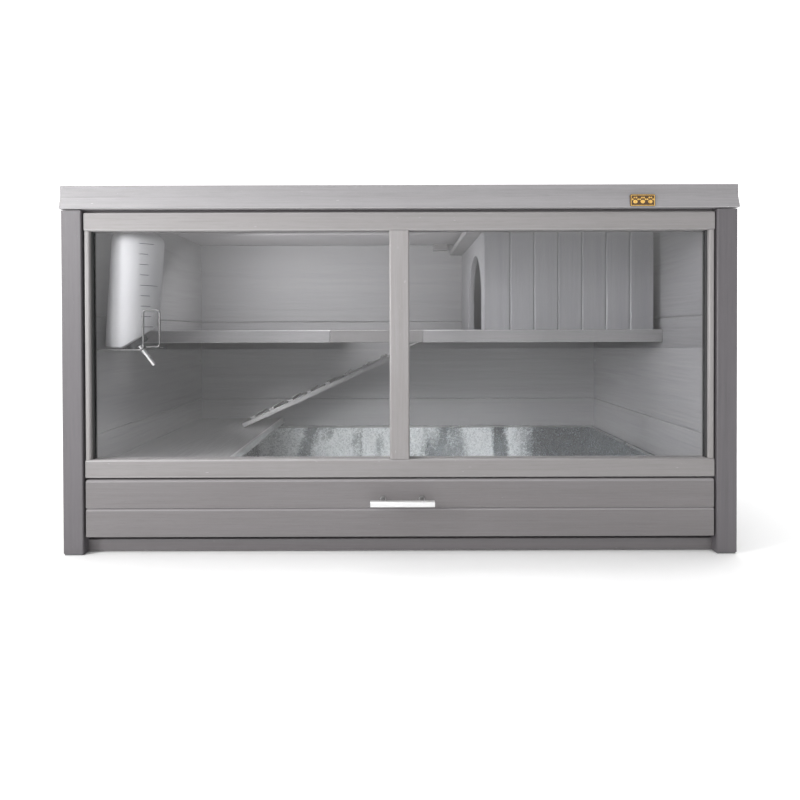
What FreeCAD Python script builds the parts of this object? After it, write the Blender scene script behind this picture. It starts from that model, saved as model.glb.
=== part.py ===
"""Small animal habitat: a boarded cabinet with a glazed front, hinged lid, litter drawer and ramp.

Millimetres, +Z up, +X to the right, the window faces -Y.  The origin is the centre of the
footprint at the floor.  Every driving size is a cell of the sheet named Sizes.
"""
import FreeCAD, Part
import math
import os
import re

import Sketcher

Vector = FreeCAD.Vector
Rotation = FreeCAD.Rotation

doc = FreeCAD.newDocument("habitat")
sheet = doc.addObject("Spreadsheet::Sheet", "Sizes")

SIZES = [
    # cabinet
    ("front_y", -287.5),      # front faces of the corner posts
    ("post_half", 547.5),     # outer faces of the corner posts, from the middle
    ("body_deep", 593.0),     # over the corner posts, front to back
    ("post_side", 33.0),
    ("post_top", 560.0),
    ("foot_tall", 3.0),
    ("foot_inset", 1.5),
    ("edge_round", 2.0),
    ("overcut", 1.0),         # how far a cutting solid stands past what it cuts
    # tongue-and-groove wall boards
    ("wall_in", 510.0),       # inner faces of the side walls, from the middle
    ("wall_thick", 16.0),
    ("wall_low", 10.0),
    ("joint_low", 190.0),
    ("joint_high", 389.0),
    ("wall_high", 587.7),
    ("tongue_tall", 6.0),
    ("tongue_thick", 5.0),
    ("tongue_play", 0.2),
    ("vee", 2.0),
    # base
    ("kick_face", 15.0),      # how far the kick rail stands behind the posts
    ("kick_thick", 16.0),
    ("rail_low", 2.0),
    ("rail_high", 21.0),
    ("base_rail_wide", 22.0),
    ("floor_thick", 5.0),
    ("floor_face", 24.0),
    ("runner_wide", 20.0),
    ("runner_tall", 8.0),
    ("runner_in", 470.0),
    # top rails
    ("header_face", 13.0),
    ("header_thick", 18.0),
    ("rear_rail_tall", 32.0),
    ("rear_rail_thick", 20.0),
    # window
    ("frame_half", 512.0),
    ("frame_face", 3.0),      # how far the window stands behind the posts
    ("frame_deep", 24.0),
    ("rail_tall", 30.0),
    ("window_low", 125.0),
    ("window_high", 557.0),
    ("stile_wide", 9.0),
    ("mullion_wide", 32.4),
    ("glass_thick", 4.0),
    ("glass_face", 10.0),     # front of the window frame to the front of the glass
    ("glass_bite", 6.0),
    ("glass_play", 0.2),
    ("bead_wide", 2.5),
    ("bead_deep", 4.0),
    ("frame_round", 3.0),
    # lid
    ("lid_half", 550.0),
    ("lid_over", 3.0),        # how far the lid stands out past the posts
    ("lid_low", 562.0),
    ("lid_high", 600.0),
    ("roof_thick", 12.0),
    ("roof_board", 192.0),
    ("fascia_thick", 14.0),
    ("facet_split", 18.0),    # height of the line between the fascia's two facets
    ("facet_set", 2.0),       # how far the lower facet leans out at its foot
    ("badge_x", 392.0),
    ("badge_wide", 40.0),
    ("badge_low", 1.5),       # above the fascia's foot
    ("badge_tall", 19.0),
    ("badge_thick", 1.0),     # proud of the fascia's foot
    ("badge_round", 2.0),
    # hinges
    ("hinge_long", 60.0),
    ("hinge_leaf", 24.0),
    ("leaf_thick", 1.5),
    ("knuckle", 3.5),
    ("pin_radius", 1.6),
    ("pin_play", 0.06),
    ("knuckle_gap", 0.3),
    ("hinge_x", 330.0),
    ("head_radius", 2.6),
    ("head_tall", 0.9),
    ("head_place", 0.68),     # share of the leaf from the axis to its screws
    # drawer
    ("drawer_half", 511.5),
    ("drawer_face", 2.0),
    ("drawer_low", 29.0),
    ("plank_tall", 46.4),
    ("plank_gap", 0.5),
    ("plank_thick", 16.0),
    ("plank_chamfer", 3.0),
    ("batten_wide", 40.0),
    ("batten_thick", 10.0),
    ("batten_x", 380.0),
    ("batten_short", 5.0),    # how far a batten stops inside the planks' outer edges
    ("pan_half", 498.0),
    ("pan_low", 34.5),
    ("pan_high", 119.0),
    ("pan_skin", 1.2),
    ("pan_rim", 6.0),
    ("pan_rim_tall", 4.0),
    ("pan_back", 552.0),
    # handle
    ("handle_x", 4.0),
    ("handle_long", 102.0),
    ("handle_tall", 9.0),
    ("handle_deep", 9.0),
    ("handle_reach", 28.0),   # posts' front plane to the front of the bar
    ("handle_span", 63.0),
    ("handle_z", 90.0),
    ("handle_post", 4.0),
    ("handle_foot", 5.0),
    ("handle_foot_thick", 2.0),
    ("handle_screw", 4.0),
    ("handle_screw_thick", 2.0),
    # deck over the pan
    ("deck_right", -298.0),
    ("deck_top", 140.0),
    ("deck_thick", 12.0),
    ("ledge_tall", 7.0),
    ("ledge_wide", 10.0),
    # shelf
    ("shelf_play", 0.3),
    ("shelf_face", 186.0),
    ("shelf_top", 366.0),
    ("shelf_thick", 12.0),
    ("lip_thick", 8.0),
    ("lip_tall", 24.0),
    ("lip_bevel", 1.0),
    ("lip_left_end", -133.0),
    ("lip_right_end", 47.0),
    ("hole_left", -126.0),
    ("hole_face", 393.0),
    ("cleat", 12.0),
    ("cleat_set", 4.0),       # how far the cleats start behind the shelf's front edge
    ("cleat_clear", 20.0),    # from the ramp hinge's leaf to the cleat beside it
    ("stop_x", 92.0),
    ("stop_wide", 36.0),
    ("stop_deep", 18.0),
    ("stop_tall", 15.0),
    # ramp
    ("ramp_x", 80.0),         # hinge axis
    ("ramp_slope", 24.5),
    ("ramp_long", 488.0),
    ("ramp_start", 4.5),
    ("ramp_face", 402.0),
    ("ramp_wide", 140.0),
    ("ramp_thick", 10.0),
    ("tread_wide", 12.0),
    ("tread_tall", 5.0),
    ("tread_pitch", 48.0),
    ("tread_first", 22.0),
    ("tread_inset", 8.0),
    ("ramp_bare", 30.0),      # free of treads next to the hinge leaf
    # hide house
    ("house_left", 166.0),
    ("house_right", 493.0),
    ("house_face", 182.0),
    ("house_back", 552.0),
    ("house_top", 560.0),
    ("house_board", 12.0),
    ("roof_left", 136.0),
    ("roof_right", 503.0),
    ("roof_face", 174.0),
    ("house_roof_thick", 12.0),
    ("bead_pitch", 46.4),
    ("bead_first", 50.0),
    ("bead_vee", 2.5),
    ("door_face", 223.0),
    ("door_radius", 95.0),
    ("door_straight", 65.0),
    # water bottle
    ("bottle_x", -466.5),
    ("bottle_y", 73.0),
    ("bottle_z", 336.0),
    ("bottle_lean", 4.0),
    ("bottle_radius", 42.0),
    ("bottle_tall", 200.0),
    ("shoulder_start", -14.0),
    ("shoulder_tilt", 38.0),
    ("cap_x", 4.0),
    ("cap_radius", 19.0),
    ("cap_thick", 12.0),
    ("cap_round", 3.0),
    ("bottle_turn", 25.0),    # how far the spout turns back from +X
    ("bottle_top_round", 16.0),
    ("bottle_foot_round", 4.0),
    ("tube_radius", 4.0),
    ("tube_long", 42.0),
    ("tube_bore", 3.0),
    ("tube_gap", 0.05),
    ("tube_floor", 8.0),
    ("wire_radius", 1.5),
    ("wire_bend", 5.0),
    ("wire_play", 1.0),
    ("holder_half", 44.0),    # from the bottle's middle to the near and far wires
    ("holder_drop", 2.5),     # from the bottle's foot down to the wires that carry it
    ("loop_left", 39.5),      # the loop's sides, from the bottle's middle
    ("loop_right", 67.0),
    ("loop_tall", 66.0),
    ("loop_rise", 5.0),
    ("hook_tall", 160.0),
    ("rest_x", -24.0),
    # corner screws
    ("corner_head", 4.5),
    ("corner_head_tall", 1.8),
    ("corner_inset", 9.0),
    ("corner_screw_low", 80.0),
    ("corner_screw_middle", 290.0),
    ("corner_screw_high", 524.0),
]
for row, (alias, value) in enumerate(SIZES, start=1):
    sheet.set("A%d" % row, alias)
    sheet.set("B%d" % row, "%g" % value)
    sheet.setAlias("B%d" % row, alias)
doc.recompute()

NAMES = re.compile(r"\b[a-z][a-z0-9_]*\b(?!\()")
PARTS = []


def cell(text):
    """An expression in sheet names becomes one that FreeCAD resolves."""
    return NAMES.sub(lambda found: "Sizes." + found.group(0), str(text))


def value(text):
    """The number an expression stands for."""
    result = sheet.evalExpression(cell(text))
    return float(getattr(result, "Value", result))


def bind(thing, **properties):
    """Bind properties to expressions; a double underscore stands for a dot."""
    for name, text in properties.items():
        thing.setExpression(name.replace("__", "."), cell(text))


def place(thing, x, y, z, turn=None):
    """Put a sub-part's own origin at x, y, z; y is measured back from the posts' front plane."""
    if turn is not None:
        thing.Placement = FreeCAD.Placement(Vector(0, 0, 0), turn)
    bind(thing, Placement__Base__x=x, Placement__Base__y="front_y + %s" % y, Placement__Base__z=z)
    return thing


def keep(thing, label):
    """Give a finished sub-part its name and put it on the list of parts."""
    thing.Label = label
    PARTS.append(thing)
    return thing


# ---------------------------------------------------------------- sketch and body helpers

def new_body(label):
    return doc.addObject("PartDesign::Body", label + "_body")


def new_sketch(body, plane, name, lift="0"):
    sketch = body.newObject("Sketcher::SketchObject", name)
    support = [f for f in body.Origin.OriginFeatures if f.Role == plane + "_Plane"][0]
    sketch.AttachmentSupport = (support, [""])
    sketch.MapMode = "FlatFace"
    if lift != "0":
        sketch.setExpression("AttachmentOffset.Base.z", cell(lift))
    return sketch


def draw_loop(sketch, points):
    """A closed outline of straight lines whose corners are pairs of expressions."""
    corners = [(value(a), value(b)) for a, b in points]
    first = sketch.GeometryCount
    count = len(points)
    for index in range(count):
        start = Vector(corners[index][0], corners[index][1], 0)
        end = Vector(corners[(index + 1) % count][0], corners[(index + 1) % count][1], 0)
        sketch.addGeometry(Part.LineSegment(start, end), False)
    for index in range(count):
        following = first + (index + 1) % count
        sketch.addConstraint(Sketcher.Constraint("Coincident", first + index, 2, following, 1))
    for index, (a, b) in enumerate(points):
        pair = (("DistanceX", a, corners[index][0]), ("DistanceY", b, corners[index][1]))
        for kind, text, number in pair:
            rule = Sketcher.Constraint(kind, -1, 1, first + index, 1, number)
            at = sketch.addConstraint(rule)
            sketch.setExpression("Constraints[%d]" % at, cell(text))


def pad(body, plane, loops, length, lift="0"):
    """Pad an outline towards +X, +Y or +Z, whichever is square to its plane."""
    sketch = new_sketch(body, plane, body.Name + "_sketch", lift)
    for points in loops:
        draw_loop(sketch, points)
    feature = body.newObject("PartDesign::Pad", body.Name + "_pad")
    feature.Profile = sketch
    feature.Reversed = plane == "XZ"
    bind(feature, Length=length)
    body.Tip = feature
    return feature


def cut(body, plane, loops):
    """Cut an outline right through the body, both ways from its plane."""
    before = body.Shape.Volume
    sketch = new_sketch(body, plane, body.Name + "_cut_sketch")
    for points in loops:
        draw_loop(sketch, points)
    feature = body.newObject("PartDesign::Pocket", body.Name + "_pocket")
    feature.Profile = sketch
    feature.Type = "ThroughAll"
    feature.Midplane = True
    body.Tip = feature
    doc.recompute()
    if body.Shape.Volume >= before:
        raise RuntimeError(body.Name + ": the cut took nothing away")
    return feature


def pick_edges(shape, test):
    return ["Edge%d" % (n + 1) for n, edge in enumerate(shape.Edges) if test(edge)]


def along(edge, axis):
    """True for a straight edge that runs along X, Y or Z."""
    ends = [vertex.Point for vertex in edge.Vertexes]
    if len(ends) != 2 or not isinstance(edge.Curve, (Part.Line, Part.LineSegment)):
        return False
    run = ends[1] - ends[0]
    return abs(run.normalize().dot(axis)) > 0.999


def dress(body, kind, test, size):
    """Round ("Fillet") or bevel ("Chamfer") the edges that pass a test."""
    doc.recompute()
    base = body.Tip
    feature = body.newObject("PartDesign::" + kind, body.Name + "_" + kind.lower())
    feature.Base = (base, pick_edges(base.Shape, test))
    bind(feature, **{"Radius" if kind == "Fillet" else "Size": size})
    body.Tip = feature
    return feature


X, Y, Z = Vector(1, 0, 0), Vector(0, 1, 0), Vector(0, 0, 1)


def rectangle(wide, tall, a="0", b="0"):
    right = "%s + %s" % (a, wide)
    top = "%s + %s" % (b, tall)
    return [(a, b), (right, b), (right, top), (a, top)]


def bar(label, size, at, soft=None, soft_size="edge_round"):
    """A straight board or rail: size and low corner as expressions, soft the axis of its round edges."""
    body = new_body(label)
    pad(body, "XY", [rectangle(size[0], size[1])], size[2])
    if soft is not None:
        dress(body, "Fillet", lambda edge: along(edge, soft), soft_size)
    place(body, *at)
    return keep(body, label)


def block(size, at, name="block"):
    """One solid of a group."""
    box = doc.addObject("Part::Box", name)
    bind(box, Length=size[0], Width=size[1], Height=size[2])
    bind(box, Placement__Base__x=at[0], Placement__Base__y=at[1], Placement__Base__z=at[2])
    return box


def rod(radius, height, at, turn=None, name="rod"):
    """One round solid of a group, along +Z unless turned."""
    cylinder = doc.addObject("Part::Cylinder", name)
    if turn is not None:
        cylinder.Placement = FreeCAD.Placement(Vector(0, 0, 0), turn)
    bind(cylinder, Radius=radius, Height=height)
    bind(cylinder, Placement__Base__x=at[0], Placement__Base__y=at[1], Placement__Base__z=at[2])
    return cylinder


def group(label, members, at=("0", "0", "0"), turn=None):
    """Separate solids that share one node."""
    compound = doc.addObject("Part::Compound", label + "_group")
    compound.Links = members
    place(compound, *at, turn=turn)
    return keep(compound, label)


def fused(members, name="fused"):
    joined = doc.addObject("Part::MultiFuse", name)
    joined.Shapes = members
    return joined


def less(base, tool, name="less"):
    result = doc.addObject("Part::Cut", name)
    result.Base = base
    result.Tool = tool
    return result


ALONG_X = Rotation(Y, 90)
ALONG_Y = Rotation(X, -90)


# ---------------------------------------------------------------- cabinet

def corner_posts():
    for side, x in (("left", "0 - post_half"), ("right", "post_half - post_side")):
        for end, y in (("front", "0"), ("rear", "body_deep - post_side")):
            bar("corner_post_%s_%s" % (end, side), ("post_side", "post_side", "post_top - foot_tall"),
                (x, y, "foot_tall"), soft=Z)


def foot_glides():
    side = "post_side - 2 * foot_inset"
    feet = []
    for x in ("0 - post_half + foot_inset", "post_half - post_side + foot_inset"):
        for y in ("foot_inset", "body_deep - post_side + foot_inset"):
            feet.append(block((side, side, "foot_tall"), (x, y, "0"), "foot"))
    group("foot_glides", feet)


def tongue_profile(tall, thick, groove, tongue, upright=True):
    """Section of a tongue-and-groove board; groove at its low edge, tongue at its high edge."""
    middle = "(%s) / 2" % thick
    slot = "(tongue_thick / 2 + tongue_play)"
    low = [("0", "0"), (thick, "0")]
    if groove:
        depth = "tongue_tall + tongue_play"
        low = [("0", "vee"), ("vee", "0"), (middle + " - " + slot, "0"), (middle + " - " + slot, depth),
               (middle + " + " + slot, depth), (middle + " + " + slot, "0"), (thick + " - vee", "0"),
               (thick, "vee")]
    high = [(thick, tall), ("0", tall)]
    if tongue:
        tip = "(%s) + tongue_tall" % tall
        half = "tongue_thick / 2"
        shoulder = "(%s) - vee" % tall
        high = [(thick, shoulder), (thick + " - vee", tall), (middle + " + " + half, tall),
                (middle + " + " + half, tip), (middle + " - " + half, tip),
                (middle + " - " + half, tall), ("vee", tall), ("0", shoulder)]
    points = low + high
    if not upright:
        points = [(b, a) for a, b in points]
    return points


COURSES = [
    ("lower", "wall_low", "joint_low", False, True),
    ("middle", "joint_low", "joint_high", True, True),
    ("upper", "joint_high", "wall_high", True, False),
]


def wall_boards():
    deep = "body_deep - 2 * post_side"
    for course, low, high, groove, tongue in COURSES:
        section = tongue_profile("%s - %s" % (high, low), "wall_thick", groove, tongue)
        sides = []
        for x in ("0 - wall_in - wall_thick", "wall_in"):
            board = new_body("side_board")
            pad(board, "XZ", [section], deep)
            bind(board, Placement__Base__x=x, Placement__Base__y="post_side",
                 Placement__Base__z=low)
            sides.append(board)
        group("side_wall_boards_" + course, sides)
        board = new_body("back_board_" + course)
        pad(board, "YZ", [section], "2 * (post_half - post_side)")
        place(board, "0 - post_half + post_side", "body_deep - post_side", low)
        keep(board, "back_wall_board_" + course)


def base():
    clear = "2 * (post_half - post_side)"
    tall = "rail_high - rail_low"
    bar("kick_rail", (clear, "kick_thick", tall), ("0 - post_half + post_side", "kick_face", "rail_low"),
        soft=X, soft_size="edge_round / 2")
    behind = "kick_face + kick_thick"
    inner = "body_deep - post_side"
    side = "body_deep - post_side - kick_face - kick_thick"
    rails = [
        block(("base_rail_wide", side, tall), ("0 - wall_in", behind, "rail_low"), "rail"),
        block(("base_rail_wide", side, tall), ("wall_in - base_rail_wide", behind, "rail_low"), "rail"),
        block(("2 * (wall_in - base_rail_wide)", "base_rail_wide", tall),
              ("base_rail_wide - wall_in", inner + " - base_rail_wide", "rail_low"), "rail"),
    ]
    group("base_rails", rails)
    bar("base_floor", ("2 * wall_in", inner + " - floor_face", "floor_thick"),
        ("0 - wall_in", "floor_face", "rail_high"))
    runners = []
    for x in ("0 - runner_in - runner_wide", "runner_in"):
        runners.append(block(("runner_wide", inner + " - post_side", "runner_tall"),
                             (x, "post_side", "rail_high + floor_thick"), "runner"))
    group("drawer_runners", runners)


def top_rails():
    clear = "2 * (post_half - post_side)"
    left = "0 - post_half + post_side"
    bar("front_top_rail", (clear, "header_thick", "wall_high - window_high"),
        (left, "header_face", "window_high"))
    bar("rear_top_rail", (clear, "rear_rail_thick", "rear_rail_tall"),
        (left, "body_deep - post_side + wall_thick", "post_top - rear_rail_tall"))


# ---------------------------------------------------------------- window

def glazed_section(upside_down):
    """Rail section in Y and Z with the groove that holds the glass."""
    near = "glass_face - glass_play"
    far = "glass_face + glass_thick + glass_play"
    floor = "rail_tall - glass_bite - glass_play"
    points = [("0", "0"), ("frame_deep", "0"), ("frame_deep", "rail_tall"), (far, "rail_tall"),
              (far, floor), (near, floor), (near, "rail_tall"), ("0", "rail_tall")]
    if upside_down:
        points = [(y, "rail_tall - (%s)" % z) for y, z in points]
    return points


def front_corner(edge, axis):
    """An edge along the given axis that lies on the piece's own front plane."""
    return along(edge, axis) and abs(edge.CenterOfMass.y) < 0.01


def window():
    for name, low, flipped in (("window_bottom_rail", "window_low", False),
                               ("window_top_rail", "window_high - rail_tall", True)):
        rail = new_body(name)
        pad(rail, "YZ", [glazed_section(flipped)], "2 * frame_half")
        dress(rail, "Fillet", lambda edge: front_corner(edge, X), "frame_round")
        place(rail, "0 - frame_half", "frame_face", low)
        keep(rail, name)
    clear = "window_high - window_low - 2 * rail_tall"
    above = "window_low + rail_tall"

    stiles = []
    for side, x in (("left", "0 - frame_half"), ("right", "frame_half - stile_wide")):
        stile = new_body("stile_" + side)
        pad(stile, "XY", [rectangle("stile_wide", "frame_deep")], clear)
        dress(stile, "Fillet", lambda edge: front_corner(edge, Z), "frame_round")
        bind(stile, Placement__Base__x=x)
        stiles.append(stile)
    group("window_stiles", stiles, ("0", "frame_face", above))

    mullion = new_body("mullion")
    near, far = "glass_face - glass_play", "glass_face + glass_thick + glass_play"
    bite = "glass_bite + glass_play"
    inner = "mullion_wide - glass_bite - glass_play"
    section = [("0", "0"), ("mullion_wide", "0"), ("mullion_wide", near), (inner, near), (inner, far),
               ("mullion_wide", far), ("mullion_wide", "frame_deep"), ("0", "frame_deep"), ("0", far),
               (bite, far), (bite, near), ("0", near)]
    pad(mullion, "XY", [section], clear)
    dress(mullion, "Fillet", lambda edge: front_corner(edge, Z), "frame_round")
    place(mullion, "0 - mullion_wide / 2", "frame_face", above)
    keep(mullion, "window_mullion")

    pane_wide = "frame_half - stile_wide - mullion_wide / 2 + glass_bite"
    for side, x in (("left", "stile_wide - frame_half"), ("right", "mullion_wide / 2 - glass_bite")):
        bar("glass_pane_" + side, (pane_wide, "glass_thick", clear + " + 2 * glass_bite"),
            (x, "frame_face + glass_face", above + " - glass_bite"))

    beads = []
    for x in ("stile_wide - frame_half", "frame_half - stile_wide - bead_wide"):
        for y in ("frame_face + glass_face - bead_deep", "frame_face + glass_face + glass_thick"):
            beads.append(block(("bead_wide", "bead_deep", clear), (x, y, above), "bead"))
    group("glazing_beads", beads)


# ---------------------------------------------------------------- lid

def fascia(name, length, faceted):
    """Edge board of the lid with mitred ends; its outer face is its own y = 0 side."""
    tall = "lid_high - lid_low"
    outer = [("0", "0"), ("0", tall)]
    if faceted:
        outer = [("0", "0"), ("facet_set", "facet_split"), ("facet_set", tall)]
    body = new_body("fascia_" + name)
    pad(body, "YZ", [outer + [("fascia_thick", tall), ("fascia_thick", "0")]], length)
    doc.recompute()
    far = "%s - fascia_thick" % length
    cut(body, "XY", [[("0", "0"), ("fascia_thick", "fascia_thick"), ("0", "fascia_thick")],
                     [(length, "0"), (length, "fascia_thick"), (far, "fascia_thick")]])
    return body


def lid():
    deep = "body_deep + 2 * lid_over"
    near, far = "0 - lid_over", "body_deep + lid_over"
    front = place(fascia("front", "2 * lid_half", True), "0 - lid_half", near, "lid_low")
    keep(front, "lid_fascia_front")
    rear = fascia("rear", "2 * lid_half", False)
    place(rear, "lid_half", far, "lid_low", turn=Rotation(Z, 180))
    keep(rear, "lid_fascia_rear")
    sides = []
    for name, x, y, angle in (("left", "0 - lid_half", far, -90), ("right", "lid_half", near, 90)):
        side = fascia(name, deep, True)
        side.Placement = FreeCAD.Placement(Vector(0, 0, 0), Rotation(Z, angle))
        bind(side, Placement__Base__x=x, Placement__Base__y=y)
        sides.append(side)
    group("lid_fascia_sides", sides, ("0", "0", "lid_low"))

    wide = "2 * (lid_half - fascia_thick)"
    start = "fascia_thick - lid_over"
    last = "(body_deep + lid_over - fascia_thick) - (%s) - 2 * roof_board" % start
    rows = [("front", start, "roof_board", False, True),
            ("middle", start + " + roof_board", "roof_board", True, True),
            ("rear", start + " + 2 * roof_board", last, True, False)]
    for name, y, board_deep, groove, tongue in rows:
        board = new_body("roof_" + name)
        section = tongue_profile(board_deep, "roof_thick", groove, tongue, upright=False)
        pad(board, "YZ", [section], wide)
        place(board, "fascia_thick - lid_half", y, "lid_high - roof_thick")
        keep(board, "lid_board_" + name)

    badge = new_body("badge")
    outer, top = "0 - badge_thick", "badge_low + badge_tall"
    seat = [("facet_set * badge_low / facet_split", "badge_low"), ("facet_set", "facet_split"),
            ("facet_set", top)]
    pad(badge, "YZ", [[(outer, "badge_low")] + seat + [(outer, top)]], "badge_wide")
    dress(badge, "Fillet", lambda edge: along(edge, Y), "badge_round")
    place(badge, "badge_x - badge_wide / 2", near, "lid_low")
    keep(badge, "lid_badge")


# ---------------------------------------------------------------- hinges

def hinge_leaf(upper):
    """One leaf about an axis on +X: it lies on the surface at y = -knuckle, above or below the axis."""
    barrel = rod("knuckle", "hinge_long", ("0", "0", "0"), ALONG_X, "barrel")
    plate_low = "0" if upper else "0 - hinge_leaf"
    plate = block(("hinge_long", "leaf_thick", "hinge_leaf"), ("0", "0 - knuckle", plate_low), "plate")
    third = "hinge_long / 3"
    reach = "2 * (knuckle + knuckle_gap)"
    corner = "0 - knuckle - knuckle_gap"
    if upper:
        spans = [("0 - overcut", "%s + overcut + knuckle_gap / 2" % third),
                 ("2 * %s - knuckle_gap / 2" % third, "%s + overcut + knuckle_gap / 2" % third)]
    else:
        spans = [("%s - knuckle_gap / 2" % third, "%s + knuckle_gap" % third)]
    bore_long = "hinge_long + 2 * overcut"
    tools = [rod("pin_radius + pin_play", bore_long, ("0 - overcut", "0", "0"), ALONG_X, "bore")]
    for x, wide in spans:
        tools.append(block((wide, reach, reach), (x, corner, corner), "relief"))
    return less(fused([barrel, plate]), fused(tools) if len(tools) > 1 else tools[0], "leaf")


def screw_heads(upper, count=3, y="leaf_thick - knuckle"):
    """Low round heads on a leaf, by default on its side away from the surface it lies on."""
    side = 1 if upper else -1
    heads = []
    for index in range(count):
        x = "hinge_long * %g" % ((index + 0.5) / count)
        z = "%d * hinge_leaf * head_place" % side
        heads.append(rod("head_radius", "head_tall", (x, y, z), ALONG_Y, "head"))
    return heads


LID_AXIS = ("body_deep + lid_over + knuckle", "(post_top + lid_low) / 2")
RAMP_PIVOT_Z = "shelf_top - shelf_thick - knuckle"
RAMP_HINGE_Y = "ramp_face + (ramp_wide - hinge_long) / 2"


def lid_hinges():
    for label, upper in (("lid_hinge_body_leaves", False), ("lid_hinge_lid_leaves", True)):
        leaves = []
        for x in ("0 - hinge_x - hinge_long / 2", "hinge_x - hinge_long / 2"):
            one = doc.addObject("Part::Compound", "hinge")
            one.Links = [hinge_leaf(upper)] + screw_heads(upper)
            bind(one, Placement__Base__x=x)
            leaves.append(one)
        group(label, leaves, ("0",) + LID_AXIS)


def hinge_pins():
    pins = []
    for x in ("0 - hinge_x - hinge_long / 2", "hinge_x - hinge_long / 2"):
        pins.append(rod("pin_radius", "hinge_long", (x,) + LID_AXIS, ALONG_X, "pin"))
    pins.append(rod("pin_radius", "hinge_long", ("ramp_x", RAMP_HINGE_Y, RAMP_PIVOT_Z), ALONG_Y, "pin"))
    group("hinge_pins", pins)


# ---------------------------------------------------------------- drawer

def drawer():
    for name, low in (("lower", "drawer_low"), ("upper", "drawer_low + plank_tall + plank_gap")):
        plank = new_body("plank_" + name)
        pad(plank, "XY", [rectangle("2 * drawer_half", "plank_thick")], "plank_tall")
        top = value("plank_tall")
        dress(plank, "Chamfer", lambda edge: front_corner(edge, X) and edge.CenterOfMass.z > top - 1,
              "plank_chamfer")
        place(plank, "0 - drawer_half", "drawer_face", low)
        keep(plank, "drawer_plank_" + name)

    behind = "(drawer_face + plank_thick)"
    battens = []
    for x in ("0 - batten_x - batten_wide / 2", "0 - batten_wide / 2", "batten_x - batten_wide / 2"):
        battens.append(block(("batten_wide", "batten_thick", "2 * (plank_tall - batten_short)"),
                             (x, behind, "drawer_low + batten_short"), "batten"))
    group("drawer_battens", battens)

    pan = new_body("pan")
    deep = "(pan_back - %s - batten_thick)" % behind
    wide = "2 * pan_half"
    pad(pan, "XY", [rectangle(wide, deep)], "pan_skin")
    hollow = rectangle(wide + " - 2 * pan_skin", deep + " - 2 * pan_skin", "pan_skin", "pan_skin")
    pad(pan, "XY", [rectangle(wide, deep), hollow], "pan_high - pan_low")
    rim = rectangle(wide + " + 2 * pan_rim", deep + " + pan_rim", "0 - pan_rim", "0")
    pad(pan, "XY", [rim, hollow], "pan_rim_tall", lift="pan_high - pan_low - pan_rim_tall")
    place(pan, "0 - pan_half", behind + " + batten_thick", "pan_low")
    keep(pan, "litter_pan")


def handle():
    bar("drawer_handle_bar", ("handle_long", "handle_deep", "handle_tall"),
        ("handle_x - handle_long / 2", "0 - handle_reach", "handle_z - handle_tall / 2"),
        soft=X, soft_size="handle_tall / 5")
    posts = []
    gap = "handle_reach - handle_deep + drawer_face"
    for sign in ("-", "+"):
        x = "handle_x %s handle_span / 2" % sign
        stem = rod("handle_post", gap, (x, "handle_deep - handle_reach", "handle_z"), ALONG_Y, "stem")
        foot = rod("handle_foot", "handle_foot_thick", (x, "drawer_face - handle_foot_thick", "handle_z"),
                   ALONG_Y, "foot")
        posts.append(fused([stem, foot], "post"))
        posts.append(rod("handle_screw", "handle_screw_thick",
                         (x, "drawer_face + plank_thick", "handle_z"), ALONG_Y, "screw"))
    group("drawer_handle_posts", posts)


# ---------------------------------------------------------------- deck and shelf

def deck():
    deep = "body_deep - 2 * post_side - 2 * shelf_play"
    bar("deck_board", ("wall_in - shelf_play + deck_right", deep, "deck_thick"),
        ("shelf_play - wall_in", "post_side + shelf_play", "deck_top - deck_thick"),
        soft=Y, soft_size="edge_round / 2")


def support_cleats():
    """Ledges that carry the deck, cleats that carry the shelf, and a stop block under the lid."""
    rear = "body_deep - post_side"
    ledge_z = "deck_top - deck_thick - ledge_tall"
    wide = "wall_in + deck_right"
    ends = "(frame_face + frame_deep)"
    pieces = [
        block((wide, "ledge_wide", "ledge_tall"), ("0 - wall_in", ends, ledge_z), "ledge"),
        block((wide, "ledge_wide", "ledge_tall"), ("0 - wall_in", rear + " - ledge_wide", ledge_z), "ledge"),
        block(("ledge_wide / 2", rear + " - 2 * ledge_wide - " + ends, "ledge_tall"),
              ("0 - wall_in", ends + " + ledge_wide", ledge_z), "ledge"),
    ]
    shelf_z = "shelf_top - shelf_thick - cleat"
    for x in ("0 - wall_in", "wall_in - cleat"):
        pieces.append(block(("cleat", rear + " - cleat - shelf_face - cleat_set", "cleat"),
                            (x, "shelf_face + cleat_set", shelf_z), "cleat"))
    pieces.append(block(("hole_left + wall_in", "cleat", "cleat"),
                        ("0 - wall_in", rear + " - cleat", shelf_z), "cleat"))
    beside = "(ramp_x + hinge_leaf + cleat_clear)"
    pieces.append(block(("wall_in - " + beside, "cleat", "cleat"),
                        (beside, rear + " - cleat", shelf_z), "cleat"))
    pieces.append(block(("stop_wide", "stop_deep", "stop_tall"),
                        ("stop_x", rear + " - stop_deep", "wall_high - stop_tall"), "stop"))
    group("support_cleats", pieces)


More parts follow.
